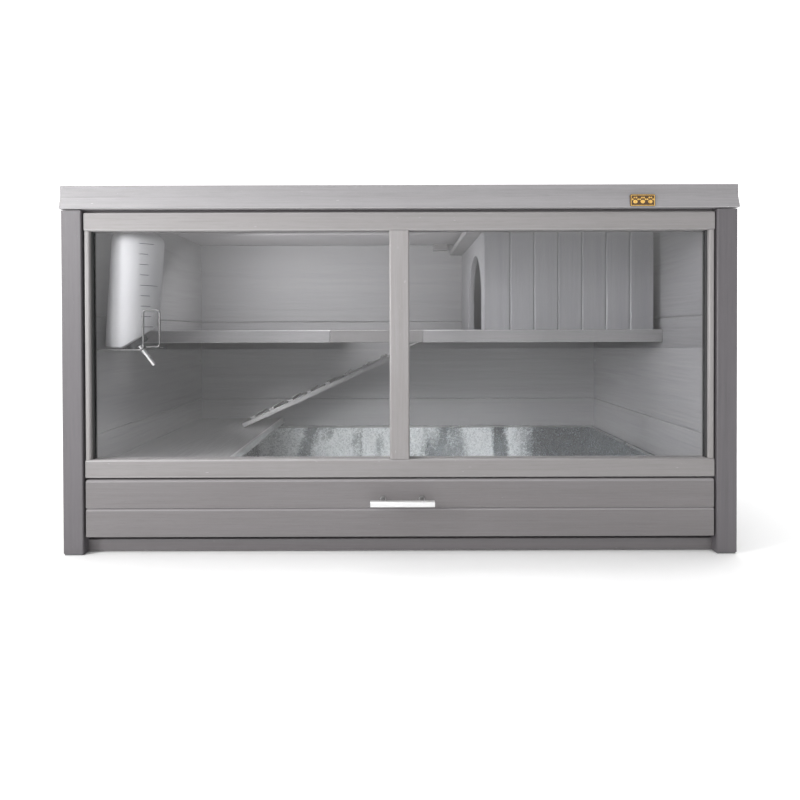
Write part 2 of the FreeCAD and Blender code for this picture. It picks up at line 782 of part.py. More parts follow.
def shelf():
    rear = "body_deep - post_side - shelf_play"
    left, right = "shelf_play - wall_in", "wall_in - shelf_play"
    hole_right = "ramp_x + knuckle"
    board = new_body("shelf")
    outline = [(left, "shelf_face"), (right, "shelf_face"), (right, rear), (hole_right, rear),
               (hole_right, "hole_face"), ("hole_left", "hole_face"), ("hole_left", rear), (left, rear)]
    pad(board, "XY", [outline], "shelf_thick")
    place(board, "0", "0", "shelf_top - shelf_thick")
    keep(board, "shelf_board")

    front = "shelf_face - lip_thick"
    low = "shelf_top - lip_tall"
    lips = [("left", left, "lip_left_end - (%s)" % left), ("middle", "lip_left_end",
            "lip_right_end - lip_left_end"), ("right", "lip_right_end", "(%s) - lip_right_end" % right)]
    for name, x, wide in lips:
        lip = new_body("lip_" + name)
        pad(lip, "XY", [rectangle(wide, "lip_thick")], "lip_tall")
        dress(lip, "Chamfer", lambda edge: front_corner(edge, X) or front_corner(edge, Z), "lip_bevel")
        place(lip, x, front, low)
        keep(lip, "shelf_lip_" + name)


# ---------------------------------------------------------------- ramp

def ramp():
    """Board, treads and hinge in a frame whose x runs up the slope, with the hinge axis as origin."""
    slope = value("ramp_slope")
    tilt = Rotation(Y, -slope)
    pivot = ("ramp_x", "ramp_face", RAMP_PIVOT_Z)
    top = "(knuckle - leaf_thick)"

    board = new_body("ramp")
    pad(board, "XZ", [rectangle("ramp_long - ramp_start", "ramp_thick", "0 - ramp_long",
                                top + " - ramp_thick")], "ramp_wide")
    place(board, *pivot, turn=tilt)
    keep(board, "ramp_board")

    treads = []
    count = int(value("(ramp_long - hinge_leaf - ramp_bare) / tread_pitch"))
    for index in range(count):
        x = "tread_first - ramp_long + %d * tread_pitch" % index
        treads.append(block(("tread_wide", "ramp_wide - 2 * tread_inset", "tread_tall"),
                            (x, "tread_inset", top), "tread"))
    group("ramp_treads", treads, pivot, turn=tilt)

    across = Rotation(Y, Z * -1, X * -1, "XYZ")
    pivot = ("ramp_x", RAMP_HINGE_Y, RAMP_PIVOT_Z)
    group("ramp_hinge_shelf_leaf", [hinge_leaf(False)] + screw_heads(False, 2), pivot, turn=across)
    heads = screw_heads(True, 2, "0 - knuckle - head_tall")
    group("ramp_hinge_ramp_leaf", [hinge_leaf(True)] + heads, pivot, turn=tilt.multiply(across))


# ---------------------------------------------------------------- hide house

HOUSE_GROOVES = 6


def house():
    tall = "house_top - shelf_top"
    wide = "house_right - house_left"
    front = new_body("house_front")
    face = [("0", "0")]
    for index in range(HOUSE_GROOVES):
        x = "bead_first + %d * bead_pitch" % index
        face += [(x + " - bead_vee", "0"), (x, "bead_vee"), (x + " + bead_vee", "0")]
    face += [(wide, "0"), (wide, "house_board"), ("0", "house_board")]
    pad(front, "XY", [face], tall)
    place(front, "house_left", "house_face", "shelf_top")
    keep(front, "house_front")

    side_deep = "house_back - house_face - 2 * house_board"
    behind = "house_face + house_board"
    panel = block(("house_board", side_deep, tall), ("0", "0", "0"), "panel")
    door_mid = "door_face + door_radius - (%s)" % behind
    through = "house_board + 2 * overcut"
    doorway = block((through, "2 * door_radius", "door_straight"),
                    ("0 - overcut", door_mid + " - door_radius", "0"), "doorway")
    arch = rod("door_radius", through, ("0 - overcut", door_mid, "door_straight"), ALONG_X, "arch")
    left = less(panel, fused([doorway, arch]), "house_left")
    place(left, "house_left", behind, "shelf_top")
    keep(left, "house_left")

    bar("house_right", ("house_board", side_deep, tall), ("house_right - house_board", behind, "shelf_top"))
    bar("house_back", (wide, "house_board", tall), ("house_left", "house_back - house_board", "shelf_top"))
    bar("house_roof", ("roof_right - roof_left", "house_back - roof_face", "house_roof_thick"),
        ("roof_left", "roof_face", "house_top"), soft=X, soft_size="edge_round")


# ---------------------------------------------------------------- water bottle

def bottle():
    """Body, cap and tube share a frame that leans sideways and turns its spout back."""
    lean = Rotation(Y, value("bottle_lean")).multiply(Rotation(Z, value("bottle_turn")))
    at = ("bottle_x", "bottle_y", "bottle_z")
    slope = "tan(shoulder_tilt * 1deg)"

    body = new_body("bottle")
    sketch = new_sketch(body, "XZ", "bottle_section")
    draw_loop(sketch, rectangle("bottle_radius", "bottle_tall"))
    turn = body.newObject("PartDesign::Revolution", "bottle_turning")
    turn.Profile = sketch
    turn.ReferenceAxis = (sketch, ["V_Axis"])
    turn.Angle = 360
    body.Tip = turn
    doc.recompute()
    past = "bottle_radius + overcut"
    rise = "(%s - shoulder_start) * %s" % (past, slope)
    cut(body, "XZ", [[("shoulder_start", "0"), (past, "0"), (past, rise)]])
    high = value("bottle_tall")
    dress(body, "Fillet", lambda edge: edge.CenterOfMass.z > high - 1, "bottle_top_round")
    dress(body, "Fillet", lambda edge: edge.CenterOfMass.z < high / 3 and not along(edge, Z),
          "bottle_foot_round")
    place(body, *at, turn=lean)
    keep(body, "bottle_body")

    down = Rotation(Y, 180 - value("shoulder_tilt"))
    face_z = "(cap_x - shoulder_start) * " + slope

    def along_spout(step):
        """The point a step down the spout's axis from the shoulder."""
        return ("cap_x + (%s) * sin(shoulder_tilt * 1deg)" % step, "0",
                "%s - (%s) * cos(shoulder_tilt * 1deg)" % (face_z, step))

    cap = rod("cap_radius", "cap_thick", along_spout("0"), down, "cap")
    rim = doc.addObject("Part::Fillet", "cap_rim")
    rim.Base = cap
    doc.recompute()
    ends = [n + 1 for n, edge in enumerate(cap.Shape.Edges) if isinstance(edge.Curve, Part.Circle)]
    outer = min(ends, key=lambda n: cap.Shape.Edges[n - 1].CenterOfMass.z)
    rim.Edges = [(outer, value("cap_round"), value("cap_round"))]
    tube = rod("tube_radius", "tube_long", along_spout("cap_thick + tube_gap"), down, "tube")
    bore = rod("tube_bore", "tube_long - tube_floor", along_spout("cap_thick + tube_gap + tube_floor"),
               down, "bore")
    group("bottle_cap", [rim], at, turn=lean)
    group("drinking_tube", [less(tube, bore, "tube_shell")], at, turn=lean)


def bent_wire(points, radius, bend):
    """A round wire along straight runs with an arc of the given radius at every corner."""
    edges = []
    here = points[0]
    for before, corner, after in zip(points, points[1:], points[2:]):
        inward = (before - corner).normalize()
        onward = (after - corner).normalize()
        half = inward.getAngle(onward) / 2
        back = bend / math.tan(half)
        start, end = corner + inward * back, corner + onward * back
        centre = corner + (inward + onward).normalize() * (bend ** 2 + back ** 2) ** 0.5
        middle = centre + (corner - centre).normalize() * bend
        edges.append(Part.LineSegment(here, start).toShape())
        edges.append(Part.Arc(start, middle, end).toShape())
        here = end
    edges.append(Part.LineSegment(here, points[-1]).toShape())
    ring = Part.Wire(Part.makeCircle(radius, points[0], points[1] - points[0]))
    return Part.Wire(edges).makePipeShell([ring], True, True)


def bottle_holder():
    """Wire cradle: hangers on the wall, wires under the bottle and one loop in front of it."""
    wall = value("wire_radius + wire_play - wall_in")
    near, far = value("bottle_y - holder_half"), value("bottle_y + holder_half")
    low = value("bottle_z - holder_drop")
    back_low = low + value("loop_rise")
    loop_top, hook = low + value("loop_tall"), low + value("hook_tall")
    loop_left, loop_right = value("bottle_x + loop_left"), value("bottle_x + loop_right")
    under = value("bottle_x + rest_x")
    radius, bend = value("wire_radius"), value("wire_bend")
    clear = 2 * radius + value("wire_play")
    cradle = [
        Vector(wall, near, hook), Vector(wall, near, low), Vector(loop_left, near, low),
        Vector(loop_left, near, loop_top), Vector(loop_right, near, loop_top),
        Vector(loop_right, near, back_low), Vector(loop_left + clear, near, back_low),
        Vector(loop_left + clear, far, low), Vector(wall, far, low), Vector(wall, far, hook),
    ]
    rail = Part.makeCylinder(radius, far - near - 2 * radius + 1, Vector(under, near + radius - 0.5, low), Y)
    holder = doc.addObject("Part::Feature", "holder")
    holder.Shape = Part.makeCompound([bent_wire(cradle, radius, bend), rail])
    holder.Placement = FreeCAD.Placement(Vector(0, value("front_y"), 0), Rotation())
    keep(holder, "bottle_holder")


def corner_screws():
    """Round-head screws through the side walls' rear edges."""
    heads = []
    for side in (-1, 1):
        turn = Rotation(Y, -90 * side)
        for height in ("corner_screw_low", "corner_screw_middle", "corner_screw_high"):
            at = ("%d * wall_in" % side, "body_deep - post_side - corner_inset", height)
            heads.append(rod("corner_head", "corner_head_tall", at, turn, "head"))
    group("corner_screws", heads)


corner_posts()
foot_glides()
wall_boards()
base()
top_rails()
window()
lid()
lid_hinges()
hinge_pins()
drawer()
handle()
deck()
support_cleats()
shelf()
ramp()
house()
bottle()
bottle_holder()
corner_screws()
doc.recompute()

for thing in doc.Objects:
    if "Invalid" in thing.State or "Error" in thing.State:
        raise RuntimeError("%s failed: %s" % (thing.Name, thing.State))
os.makedirs("parts", exist_ok=True)
for thing in PARTS:
    if thing.Shape.isNull() or not thing.Shape.isValid():
        raise RuntimeError(thing.Label + " has no valid shape")
for thing in PARTS:
    thing.Shape.exportStep("parts/%s.step" % thing.Label)
print(len(PARTS), "parts")
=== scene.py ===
"""Looks of the small animal habitat: materials, fine pieces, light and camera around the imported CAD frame."""
import math

import bmesh
import bpy
from mathutils import Matrix, Vector


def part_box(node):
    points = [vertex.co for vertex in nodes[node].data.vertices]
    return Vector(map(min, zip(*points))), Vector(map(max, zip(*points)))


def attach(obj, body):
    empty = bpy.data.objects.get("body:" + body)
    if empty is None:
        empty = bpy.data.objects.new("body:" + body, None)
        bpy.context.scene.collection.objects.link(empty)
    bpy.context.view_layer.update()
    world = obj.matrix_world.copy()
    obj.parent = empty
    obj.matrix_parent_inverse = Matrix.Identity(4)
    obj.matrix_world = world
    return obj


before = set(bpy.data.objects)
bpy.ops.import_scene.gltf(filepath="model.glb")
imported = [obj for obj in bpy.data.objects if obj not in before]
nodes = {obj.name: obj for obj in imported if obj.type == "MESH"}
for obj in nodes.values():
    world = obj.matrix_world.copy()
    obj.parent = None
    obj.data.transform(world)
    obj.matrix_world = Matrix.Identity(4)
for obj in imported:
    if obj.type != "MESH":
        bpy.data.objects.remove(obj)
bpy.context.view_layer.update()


# ---------------------------------------------------------------- node graphs

class Graph:
    """A short way to write the nodes of a material, or of the world."""

    def __init__(self, name, world=False):
        self.material = (bpy.data.worlds if world else bpy.data.materials).new(name)
        self.material.use_nodes = True
        self.tree = self.material.node_tree
        self.tree.nodes.clear()
        self.output = self.node("OutputWorld" if world else "OutputMaterial")

    def node(self, kind, **settings):
        made = self.tree.nodes.new("ShaderNode" + kind)
        for key, setting in settings.items():
            setattr(made, key, setting)
        return made

    def put(self, socket, source):
        """Link a socket, or set it if the source is a plain value."""
        if isinstance(source, bpy.types.NodeSocket):
            self.tree.links.new(source, socket)
        else:
            socket.default_value = source
        return socket

    def place(self, stretch=(1, 1, 1)):
        """The object's own coordinates in metres, times a stretch for each axis."""
        coords = self.node("TexCoord").outputs["Object"]
        mapping = self.node("Mapping")
        self.put(mapping.inputs["Vector"], coords)
        mapping.inputs["Scale"].default_value = stretch
        return mapping.outputs["Vector"]

    def noise(self, vector, scale=1.0, detail=4.0, roughness=0.55, distortion=0.0):
        made = self.node("TexNoise")
        self.put(made.inputs["Vector"], vector)
        made.inputs["Scale"].default_value = scale
        made.inputs["Detail"].default_value = detail
        made.inputs["Roughness"].default_value = roughness
        made.inputs["Distortion"].default_value = distortion
        return made.outputs["Fac"]

    def cells(self, vector, scale):
        """A flat random colour for each crystal-like cell."""
        made = self.node("TexVoronoi")
        self.put(made.inputs["Vector"], vector)
        made.inputs["Scale"].default_value = scale
        return made.outputs["Color"]

    def span(self, source, low, high, start=0.0, end=1.0):
        """Source from low..high spread over start..end, clamped."""
        made = self.node("MapRange")
        self.put(made.inputs["Value"], source)
        for key, number in (("From Min", low), ("From Max", high), ("To Min", start), ("To Max", end)):
            made.inputs[key].default_value = number
        return made.outputs["Result"]

    def math(self, operation, a, b=0.0):
        made = self.node("Math", operation=operation)
        self.put(made.inputs[0], a)
        self.put(made.inputs[1], b)
        return made.outputs[0]

    def mix(self, factor, a, b, blend="MIX"):
        made = self.node("Mix", data_type="RGBA", blend_type=blend)
        self.put(made.inputs["Factor"], factor)
        self.put(made.inputs["A"], a)
        self.put(made.inputs["B"], b)
        return made.outputs["Result"]

    def bump(self, height, distance, strength=1.0, below=None):
        made = self.node("Bump")
        self.put(made.inputs["Height"], height)
        made.inputs["Distance"].default_value = distance
        made.inputs["Strength"].default_value = strength
        if below is not None:
            self.put(made.inputs["Normal"], below)
        return made.outputs["Normal"]

    def shader(self, **inputs):
        made = self.node("BsdfPrincipled")
        for key, source in inputs.items():
            self.put(made.inputs[key.replace("_", " ")], source)
        self.put(self.output.inputs["Surface"], made.outputs["BSDF"])
        return made


def grey(level, warmth=0.0, mauve=0.0):
    """A near-neutral colour; warmth pushes it to brown (below zero to blue), mauve takes green away."""
    return (level * (1 + warmth), level * (1 - mauve), level * (1 - warmth), 1.0)


# ---------------------------------------------------------------- materials

def stretched(grain, along, across):
    """Coordinate scale for a pattern drawn out along the grain axis."""
    return tuple(along if axis == grain else across for axis in "XYZ")


def board(name, level, warmth, grain, contrast=0.10, rough=0.42, mauve=0.02, painted_edge_light=0.0):
    """Brushed wood-plastic board: extrusion bands, brush lines, hairs, flecks, clouds and a few scratches, with
    a painted highlight on faces that slope up or down where asked.
    """
    g = Graph(name)
    bands = g.noise(g.place(stretched(grain, 0.5, 34.0)), scale=3.2, detail=3.0, roughness=0.6)
    brush = g.noise(g.place(stretched(grain, 2.2, 90.0)), scale=4.2, detail=3.0, roughness=0.6)
    hairs = g.noise(g.place(stretched(grain, 3.0, 70.0)), scale=13.0, detail=3.0, roughness=0.55)
    clouds = g.noise(g.place(), scale=6.0, detail=4.0, roughness=0.55, distortion=0.4)
    flecks = g.noise(g.place(stretched(grain, 1.0, 4.0)), scale=420.0, detail=2.0, roughness=0.6)
    nicks = g.noise(g.place(stretched(grain, 1.0, 4.0)), scale=105.0, detail=1.0, roughness=0.3)

    def tone(times, warmer=1.0):
        return grey(min(level * times, 0.9), warmth * warmer, mauve)

    colour = g.mix(g.span(bands, 0.3, 0.7), tone(1 - contrast), tone(1 + contrast, 0.7))
    colour = g.mix(g.span(brush, 0.35, 0.65, 0.0, 0.6), colour, tone(1.16, 0.5))
    colour = g.mix(g.span(hairs, 0.52, 0.72, 0.0, 0.30), colour, tone(0.66))
    colour = g.mix(g.span(clouds, 0.3, 0.7, 0.0, 0.25), colour, tone(0.88, 1.5))
    colour = g.mix(g.span(flecks, 0.62, 0.74, 0.0, 0.22), colour, tone(1.7))
    colour = g.mix(g.span(flecks, 0.27, 0.38, 0.22, 0.0), colour, tone(0.5))
    colour = g.mix(g.span(nicks, 0.80, 0.825, 0.0, 0.35), colour, tone(2.2, 0.0))

    # Painted highlight: faces that tilt up or down (bevels, top and bottom faces, the fascia's lower facet) are
    # painted lighter, standing in for the light they catch.
    if painted_edge_light:
        normal = g.node("SeparateXYZ")
        g.put(normal.inputs[0], g.node("TexCoord").outputs["Normal"])
        sloping = g.math("ABSOLUTE", normal.outputs[2])
        colour = g.mix(g.span(sloping, 0.04, 0.5, 0.0, painted_edge_light), colour, tone(1.9, 0.3))

    sheen = g.span(brush, 0.3, 0.7, rough + 0.09, rough - 0.07)
    relief = g.bump(hairs, 0.0001, 0.2)
    relief = g.bump(brush, 0.0003, 0.2, below=relief)
    g.shader(Base_Color=colour, Roughness=sheen, Normal=relief)
    return g.material


PAN_SHADE_FROM = 0.34           # right of here the pan's zinc gets a painted shade: dark and mirror-like


def galvanised(name):
    """Zinc-coated sheet: fine crystal spangle; on the left cloudy pale matt patches, partly white oxide and
    partly painted light; on the right painted shade as dark mirror-like zinc.
    """
    g = Graph(name)
    bent = g.node("VectorMath", operation="ADD")
    g.put(bent.inputs[0], g.place())
    wobble = g.noise(g.place(), scale=160.0, detail=3.0)
    g.put(bent.inputs[1], g.math("MULTIPLY", wobble, 0.006))
    large = g.node("SeparateColor")
    g.put(large.inputs[0], g.cells(bent.outputs[0], 210.0))
    small = g.node("SeparateColor")
    g.put(small.inputs[0], g.cells(bent.outputs[0], 520.0))
    tone = g.math("ADD", g.math("MULTIPLY", large.outputs[0], 0.45),
                  g.math("MULTIPLY", small.outputs[1], 0.55))
    zinc_clouds = g.noise(g.place((3.2, 1.3, 1.0)), scale=3.4, detail=4.0, roughness=0.5, distortion=0.5)
    across = g.node("SeparateXYZ")
    g.put(across.inputs[0], g.place())
    # Painted light and shade: left of the limit above the cloudy patches show pale and matt, right of it the
    # zinc is painted dark.
    side = g.span(across.outputs[0], PAN_SHADE_FROM - 0.04, PAN_SHADE_FROM + 0.03, 1.0, 0.0)
    oxide_and_painted_light = g.math("MULTIPLY", g.span(zinc_clouds, 0.38, 0.5), side)
    specks = g.noise(g.place(), scale=75.0, detail=4.0, roughness=0.6)
    colour = g.mix(tone, (0.60, 0.64, 0.65, 1), (0.88, 0.905, 0.905, 1))
    colour = g.mix(g.span(specks, 0.55, 0.7, 0.0, 0.2), colour, (0.40, 0.43, 0.45, 1))
    # Painted shade: where this mask is low the zinc turns near-black.
    colour = g.mix(g.span(oxide_and_painted_light, 0.0, 1.0, 0.8, 0.0), colour, (0.15, 0.17, 0.19, 1))
    shine = g.span(oxide_and_painted_light, 0.0, 1.0, 0.92, 0.2)
    rough = g.math("ADD", g.span(tone, 0.1, 0.9, 0.12, 0.3), g.math("MULTIPLY", oxide_and_painted_light, 0.08))
    relief = g.bump(tone, 0.0003, 0.4)
    relief = g.bump(zinc_clouds, 0.012, 0.5, below=relief)
    g.shader(Base_Color=colour, Metallic=shine, Roughness=rough, Normal=relief)
    return g.material


def metal(name, level, grain, rough, metallic=1.0):
    """Drawn or brushed metal with fine lines along the grain and faint smears."""
    g = Graph(name)
    lines = g.noise(g.place(stretched(grain, 1.0, 34.0)), scale=120.0, detail=3.0)
    smear = g.noise(g.place(), scale=30.0, detail=3.0)
    colour = g.mix(g.span(lines, 0.3, 0.7), grey(level * 0.86), grey(min(level * 1.08, 0.97)))
    sheen = g.span(smear, 0.3, 0.7, rough - 0.07, rough + 0.1)
    g.shader(Base_Color=colour, Metallic=metallic, Roughness=sheen, Normal=g.bump(lines, 0.0002, 0.25))
    return g.material


def plastic(name, colour, rough):
    """Moulded plastic: fine spark-eroded grain, slight tone drift, handling shine."""
    g = Graph(name)
    grain = g.noise(g.place(), scale=900.0, detail=2.0)
    drift = g.noise(g.place(), scale=18.0, detail=3.0)
    darker = tuple(c * 0.86 for c in colour[:3]) + (1.0,)
    tone = g.mix(g.span(drift, 0.3, 0.7), darker, colour)
    sheen = g.span(drift, 0.3, 0.7, rough - 0.06, rough + 0.08)
    g.shader(Base_Color=tone, Roughness=sheen, Normal=g.bump(grain, 0.0002, 0.3))
    return g.material


def bottle_plastic(name):
    """Cloudy white polythene that lets a little light through."""
    g = Graph(name)
    cloud = g.noise(g.place((1, 1, 0.5)), scale=22.0, detail=3.0)
    fine = g.noise(g.place(), scale=600.0, detail=2.0)
    colour = g.mix(g.span(cloud, 0.3, 0.7), (0.40, 0.402, 0.415, 1), (0.46, 0.46, 0.47, 1))
    made = g.shader(Base_Color=colour, Roughness=g.span(cloud, 0.3, 0.7, 0.5, 0.62),
                    Normal=g.bump(fine, 0.0002, 0.2))
    made.inputs["Subsurface Weight"].default_value = 0.8
    made.inputs["Subsurface Radius"].default_value = (0.045, 0.045, 0.045)
    return g.material


def pane_glass(name):
    """Clear pane: faint smears in its polish; lamps shine straight through it."""
    g = Graph(name)
    smear = g.noise(g.place((1, 1, 0.35)), scale=9.0, detail=5.0, distortion=0.5)
    made = g.shader(Base_Color=(0.97, 0.97, 0.976, 1), Roughness=g.span(smear, 0.45, 0.75, 0.0, 0.04))
    made.inputs["Transmission Weight"].default_value = 1.0
    made.inputs["IOR"].default_value = 1.45
    clear = g.node("BsdfTransparent")
    clear.inputs["Color"].default_value = (0.93, 0.93, 0.94, 1)
    choice = g.node("MixShader")
    g.put(choice.inputs[0], g.node("LightPath").outputs["Is Shadow Ray"])
    g.put(choice.inputs[1], made.outputs["BSDF"])
    g.put(choice.inputs[2], clear.outputs["BSDF"])
    g.put(g.output.inputs["Surface"], choice.outputs["Shader"])
    return g.material


def gold(name):
    """Brushed gilt plate with darker tarnish."""
    g = Graph(name)
    lines = g.noise(g.place(stretched("X", 1.0, 34.0)), scale=160.0, detail=2.0)
    tarnish = g.noise(g.place(), scale=240.0, detail=4.0)
    colour = g.mix(g.span(tarnish, 0.4, 0.7), (0.86, 0.56, 0.16, 1), (0.55, 0.31, 0.08, 1))
    g.shader(Base_Color=colour, Metallic=0.85, Roughness=g.span(lines, 0.3, 0.7, 0.25, 0.4),
             Normal=g.bump(lines, 0.0001, 0.3))
    return g.material


MATERIALS = {
    "wall_across": board("board_wall_across", 0.225, -0.01, "X"),
    "wall_along": board("board_wall_along", 0.23, -0.01, "Y"),
    "post": board("board_post", 0.102, 0.0, "Z", mauve=0.07),
    "frame": board("board_frame", 0.212, 0.03, "X", contrast=0.06, mauve=0.025, painted_edge_light=0.35),
    "frame_up": board("board_frame_upright", 0.237, 0.03, "Z", contrast=0.06, mauve=0.025),
    "rail": board("board_rail", 0.122, 0.02, "X", mauve=0.05, painted_edge_light=0.4),
    "lid": board("board_lid", 0.226, 0.0, "X", contrast=0.08, mauve=0.03, painted_edge_light=0.75),
    # Painted light: a brighter copy of the lid board, so that the lid's underside over the upper room shows
    # bright like a lit ceiling.
    "lid_lit_copy": board("board_lid_lit_copy", 0.36, 0.0, "X", contrast=0.08, mauve=0.03),
    "lid_side": board("board_lid_side", 0.226, 0.0, "Y", contrast=0.08, mauve=0.03, painted_edge_light=0.75),
    "drawer": board("board_drawer", 0.150, 0.03, "X", contrast=0.08, mauve=0.04, painted_edge_light=0.7),
    "shelf": board("board_shelf", 0.22, 0.0, "X"),
    "lip": board("board_lip", 0.22, 0.0, "X", painted_edge_light=0.8),
    "shelf_dark": board("board_shelf_dark", 0.165, 0.02, "X"),
    "deck": board("board_deck", 0.238, 0.0, "Y"),
    "house": board("board_house", 0.205, -0.03, "Z", contrast=0.12, mauve=0.03),
    "glass": pane_glass("glass_pane"),
    "bead": plastic("bead_grey", (0.04, 0.04, 0.041, 1), 0.6),
    "galvanised": galvanised("galvanised_sheet"),
    "aluminium": metal("aluminium_bar", 0.74, "X", rough=0.36, metallic=0.5),
    "steel": metal("bright_steel", 0.78, "Z", rough=0.24),
    "zinc": metal("plated_steel", 0.46, "X", rough=0.34),
    "bottle": bottle_plastic("bottle_white"),
    "cap": plastic("cap_grey", (0.075, 0.077, 0.083, 1), 0.45),
    "wire": metal("wire_coated", 0.11, "Z", rough=0.45, metallic=0.3),
    "gold": gold("badge_gold"),
    "bronze": plastic("badge_enamel", (0.07, 0.035, 0.012, 1), 0.35),
    # Painted shade: near-black for the shaded inside of the screws' cross slots.
    "slot_shade": plastic("painted_slot_shade", (0.02, 0.02, 0.021, 1), 0.5),
    "print": plastic("scale_print", (0.035, 0.037, 0.045, 1), 0.5),
    "trim": metal("edge_trim", 0.60, "Y", rough=0.4, metallic=0.6),
    "ball": metal("ball_steel", 0.85, "Z", rough=0.12),
    "foot": plastic("foot_grey", (0.12, 0.12, 0.125, 1), 0.55),
}

NODE_MATERIAL = {
    "corner_post": "post",
    "side_wall_boards": "wall_along",
    "back_wall_board": "wall_across",
    "kick_rail": "rail",
    "base_rails": "rail",
    "base_floor": "rail",
    "drawer_runners": "rail",
    "front_top_rail": "rail",
    "rear_top_rail": "wall_across",
    "support_cleats": "shelf_dark",
    "window_bottom_rail": "frame",
    "window_top_rail": "frame",
    "window_stiles": "frame_up",
    "window_mullion": "frame_up",
    "lid_board": "lid_lit_copy",
    "lid_fascia": "lid",
    "lid_fascia_sides": "lid_side",
    "drawer_plank": "drawer",
    "drawer_battens": "rail",
    "shelf": "shelf",
    "shelf_lip": "lip",
    "shelf_lip_middle": "shelf_dark",
    "deck_board": "deck",
    "ramp_board": "shelf",
    "ramp_treads": "deck",
    "house": "house",
    "house_roof": "shelf",
    "glass_pane": "glass",
    "glazing_beads": "bead",
    "litter_pan": "galvanised",
    "drawer_handle_bar": "aluminium",
    "drawer_handle_posts": "zinc",
    "lid_hinge": "zinc",
    "ramp_hinge": "zinc",
    "hinge_pins": "zinc",
    "corner_screws": "zinc",
    "drinking_tube": "steel",
    "bottle_body": "bottle",
    "bottle_cap": "cap",
    "bottle_holder": "wire",
    "lid_badge": "bronze",
    "foot_glides": "foot",
}
EDGE = 0.0007
WIDE_EDGE = 0.0012
EDGE_ANGLE = 35           # degrees; shallower creases stay as they are
WELD_WITHIN = 0.00001
WIDE_EDGE_NODES = ("drawer_plank", "window_bottom", "window_top", "kick_rail", "lid_fascia", "corner_post")
SHARP_NODES = ("glass_pane", "bottle", "drinking_tube")


def material_for(node):
    """The longest name in NODE_MATERIAL that the node's name starts with."""
    fits = [key for key in NODE_MATERIAL if node.startswith(key)]
    return MATERIALS[NODE_MATERIAL[max(fits, key=len)]]


def dress_cad():
    """Every CAD node gets its material, and boards and metal a softened edge."""
    for name, thing in nodes.items():
        thing.data.materials.clear()
        thing.data.materials.append(material_for(name))
        if name.startswith(SHARP_NODES):
            continue
        weld = thing.modifiers.new("weld", "WELD")
        weld.merge_threshold = WELD_WITHIN
        bevel = thing.modifiers.new("soft_edge", "BEVEL")
        bevel.width = WIDE_EDGE if name.startswith(WIDE_EDGE_NODES) else EDGE
        bevel.segments = 2
        bevel.limit_method = "ANGLE"
        bevel.angle_limit = math.radians(EDGE_ANGLE)
        bevel.harden_normals = True


# ---------------------------------------------------------------- fine pieces

def slab(bm, low, high):
    """Add a box between two corners."""
    middle = (Vector(low) + Vector(high)) / 2
    size = Vector(high) - Vector(low)
    grow = Matrix.Diagonal((size.x, size.y, size.z, 1))
    bmesh.ops.create_cube(bm, size=1.0, matrix=Matrix.Translation(middle) @ grow)


def dot(bm, at, radius, axis, thick, stretch=1.0):
    """Add a small round stud standing along an axis."""
    stand = Vector(axis).to_track_quat("Z", "Y").to_matrix().to_4x4()
    bmesh.ops.create_cone(bm, cap_ends=True, segments=24, radius1=radius, radius2=radius * 0.85, depth=thick,
                          matrix=Matrix.Translation(at) @ stand @ Matrix.Diagonal((stretch, 1, 1, 1)))


def piece(name, bm, material, body, soften=0.0):
    """Turn the mesh into a shaded piece that moves with a body."""
    mesh = bpy.data.meshes.new(name)
    bmesh.ops.recalc_face_normals(bm, faces=bm.faces)
    bm.to_mesh(mesh)
    bm.free()
    mesh.materials.append(MATERIALS[material])
    thing = bpy.data.objects.new(name, mesh)
    bpy.context.scene.collection.objects.link(thing)
    if soften:
        bevel = thing.modifiers.new("soft_edge", "BEVEL")
        bevel.width = soften
        bevel.segments = 2
        bevel.harden_normals = True
    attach(thing, body)
    return thing


def islands(mesh):
    """The lowest and highest corner of each separate shell of a mesh."""
    bm = bmesh.new()
    bm.from_mesh(mesh)
    bmesh.ops.remove_doubles(bm, verts=bm.verts, dist=0.000001)
    left = set(bm.verts)
    found = []
    for first in bm.verts:
        if first not in left:
            continue
        left.discard(first)
        shell = [first]
        for vert in shell:
            for edge in vert.link_edges:
                other = edge.other_vert(vert)
                if other in left:
                    left.discard(other)
                    shell.append(other)
        spans = [[v.co[i] for v in shell] for i in range(3)]
        found.append((Vector(min(s) for s in spans), Vector(max(s) for s in spans)))
    bm.free()
    return found


LARGEST_HEAD = 0.0095     # larger shells of a node aren't screw heads
SLOT_SHADE_DEEP = 0.00025
SLOT_LONG, SLOT_WIDE = 0.28, 0.07    # half a slot's sides, as shares of the head's width


def painted_screw_slots(node, axis, side, body):
    """A cross slot of painted shade on every screw head of a node, thin near-black slabs in place of the shaded
    recess; the head's face looks along axis to the given side.
    """
    bm = bmesh.new()
    for low, high in islands(nodes[node].data):
        if max(high - low) > LARGEST_HEAD:
            continue
        facing = side(low, high) if callable(side) else side
        face = (low + high) / 2
        face[axis] = high[axis] if facing > 0 else low[axis]
        wide = max(high - low)
        u, v = [i for i in range(3) if i != axis]
        for long_axis, short_axis in ((u, v), (v, u)):
            half = Vector((0, 0, 0))
            half[axis] = SLOT_SHADE_DEEP / 2
            half[long_axis] = wide * SLOT_LONG
            half[short_axis] = wide * SLOT_WIDE
            slab(bm, face - half, face + half)
    piece(node + "_slot_shade", bm, "slot_shade", body)


SCALE_MARKS = 9
SCALE_FOOT, SCALE_TOP = 0.372, 0.512
SCALE_LEFT, SCALE_LONG, SCALE_SHORT = -0.436, 0.018, 0.011
MARK_TALL = 0.0011
MARK_LIFT = 0.00012
MARK_STEPS = 6            # flat lengths that follow the round of the bottle
LONG_EVERY = 4


